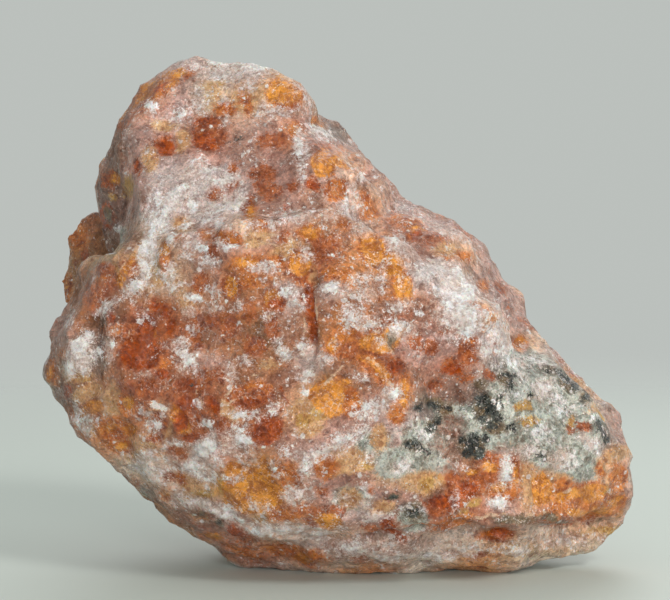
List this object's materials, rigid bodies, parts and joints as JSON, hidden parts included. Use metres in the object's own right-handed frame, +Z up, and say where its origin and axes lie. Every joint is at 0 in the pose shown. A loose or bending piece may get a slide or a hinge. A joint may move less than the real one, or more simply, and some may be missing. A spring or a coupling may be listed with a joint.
{
  "type": "rough orange calcite",
  "caption": "Rough piece of orange vein calcite, broken all round, with flat cleavage faces, a leaning front over an undercut foot, and a small flat spot to rest on",
  "frame": {"origin": "middle of the stone's box, on the surface that it rests on", "axes": "+X to the right as the stone is shown, along its widest side; +Y away from the viewer; +Z up"},
  "size_m": [0.045, 0.032, 0.0387],
  "materials": {
    "calcite": "rough broken calcite, rosy orange with white crust, amber cleavage windows and a grey-green granular patch"
  },
  "bodies": {
    "root": {"calcite": "calcite"}
  },
  "joints": []
}
